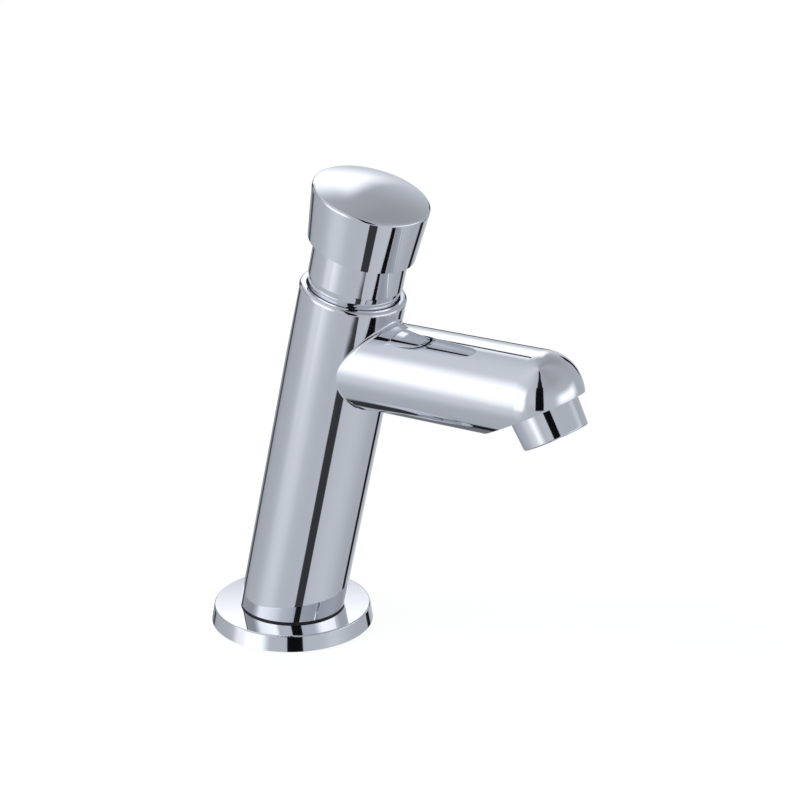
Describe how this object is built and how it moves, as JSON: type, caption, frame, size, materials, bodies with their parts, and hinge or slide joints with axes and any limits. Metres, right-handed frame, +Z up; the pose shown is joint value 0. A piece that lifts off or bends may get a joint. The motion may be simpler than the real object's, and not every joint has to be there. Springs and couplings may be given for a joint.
{
  "type": "self-closing basin tap",
  "caption": "Leaning basin tap with a push cap that opens a self-closing valve, a round side spout with a down-tilted aerator, a base flange and a threaded shank.",
  "frame": {"origin": "centre of the deck hole on the deck's top face, on the axis of the inlet shank", "axes": "+Z up out of the deck, +X the way the spout points and the barrel leans, +Y to the left of the spout; symmetric about the XZ plane"},
  "size_m": [0.134, 0.052, 0.2051],
  "materials": {
    "chromed_brass": "mirror",
    "raw_brass": "machined",
    "black_rubber": "matte",
    "stainless": "brushed",
    "white_plastic": "satin",
    "grey_plastic": "satin"
  },
  "bodies": {
    "tap": {"tap_body": "chromed_brass", "base_flange": "chromed_brass", "foot_seal": "black_rubber", "flange_gasket": "black_rubber", "inlet_shank": "raw_brass", "shank_seal": "black_rubber", "inlet_filter": "white_plastic", "deck_seal_washer": "black_rubber", "deck_washer": "stainless", "backnut": "raw_brass", "aerator_housing": "chromed_brass", "aerator_washer": "black_rubber", "aerator_screen": "stainless", "aerator_insert": "white_plastic", "collar": "chromed_brass", "collar_seal": "black_rubber", "cartridge_housing": "grey_plastic", "seat_ring": "stainless", "housing_seal_lower": "black_rubber", "housing_seal_upper": "black_rubber", "head_seal": "white_plastic", "cartridge_head": "raw_brass", "stem_bush": "white_plastic", "stem_oring": "black_rubber", "return_spring": "stainless"},
    "button": {"push_cap": "chromed_brass", "stem": "stainless", "piston": "grey_plastic", "piston_lip_seal": "black_rubber", "stem_circlip": "stainless", "valve_washer": "black_rubber", "valve_disc": "raw_brass", "valve_nut": "raw_brass"}
  },
  "joints": [
    {"name": "cap_press", "type": "slide", "parent": "tap", "child": "button", "axis": [-0.225, 0, -0.9744], "range_m": [0, 0.007], "stiffness_N_per_m": 850, "springref_m": -0.011, "deforming": ["return_spring"]}
  ]
}
